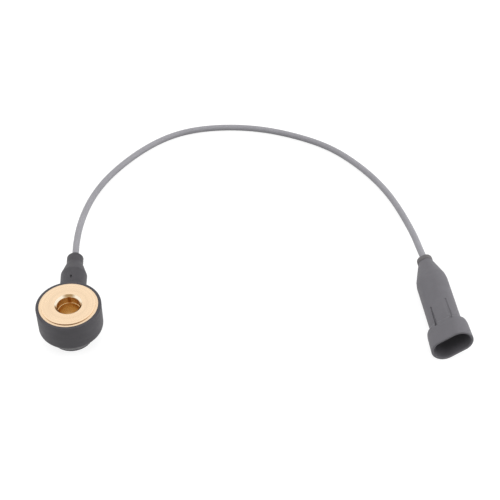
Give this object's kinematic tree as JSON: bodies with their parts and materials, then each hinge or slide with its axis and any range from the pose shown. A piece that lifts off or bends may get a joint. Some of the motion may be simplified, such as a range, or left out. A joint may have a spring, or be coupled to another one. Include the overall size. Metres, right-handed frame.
{
  "type": "engine knock sensor",
  "caption": "Ring-shaped piezo knock sensor with a flanged brass sleeve in a black moulded housing, a short free lead and a sealed two-way shrouded connector.",
  "frame": {"origin": "on the mounting bore's axis, at the sleeve's lower end, which the head stands on", "axes": "+Z along the bore, towards the brass flange; +Y along the cable neck; +X towards the connector's side"},
  "size_m": [0.164, 0.1454, 0.0179],
  "materials": {
    "turned_brass": "fine turned, bright",
    "black_moulding": "moulded, matt",
    "insulating_film": "smooth film",
    "contact_copper": "rolled sheet",
    "piezo_ceramic": "ground ceramic",
    "machined_steel": "turned",
    "signal_insulation": "smooth",
    "ground_insulation": "smooth",
    "lead_jacket": "smooth, satin",
    "seal_rubber": "moulded, matt",
    "connector_moulding": "fine spark texture",
    "terminal_metal": "tin plated"
  },
  "bodies": {
    "root": {"flanged_sleeve": "turned_brass", "sensor_housing": "black_moulding", "insulating_tube": "insulating_film", "upper_insulating_washer": "insulating_film", "signal_contact_ring": "contact_copper", "piezo_ring": "piezo_ceramic", "ground_contact_ring": "contact_copper", "lower_insulating_washer": "insulating_film", "seismic_mass": "machined_steel", "disc_spring": "machined_steel", "retaining_nut": "machined_steel", "signal_splice": "contact_copper", "ground_splice": "contact_copper", "signal_core_head": "signal_insulation", "ground_core_head": "ground_insulation", "cable_jacket": "lead_jacket", "signal_core_plug": "signal_insulation", "ground_core_plug": "ground_insulation", "rear_seal": "seal_rubber", "connector_shell": "connector_moulding", "terminal_carrier": "connector_moulding", "signal_terminal": "terminal_metal", "ground_terminal": "terminal_metal"}
  },
  "joints": []
}
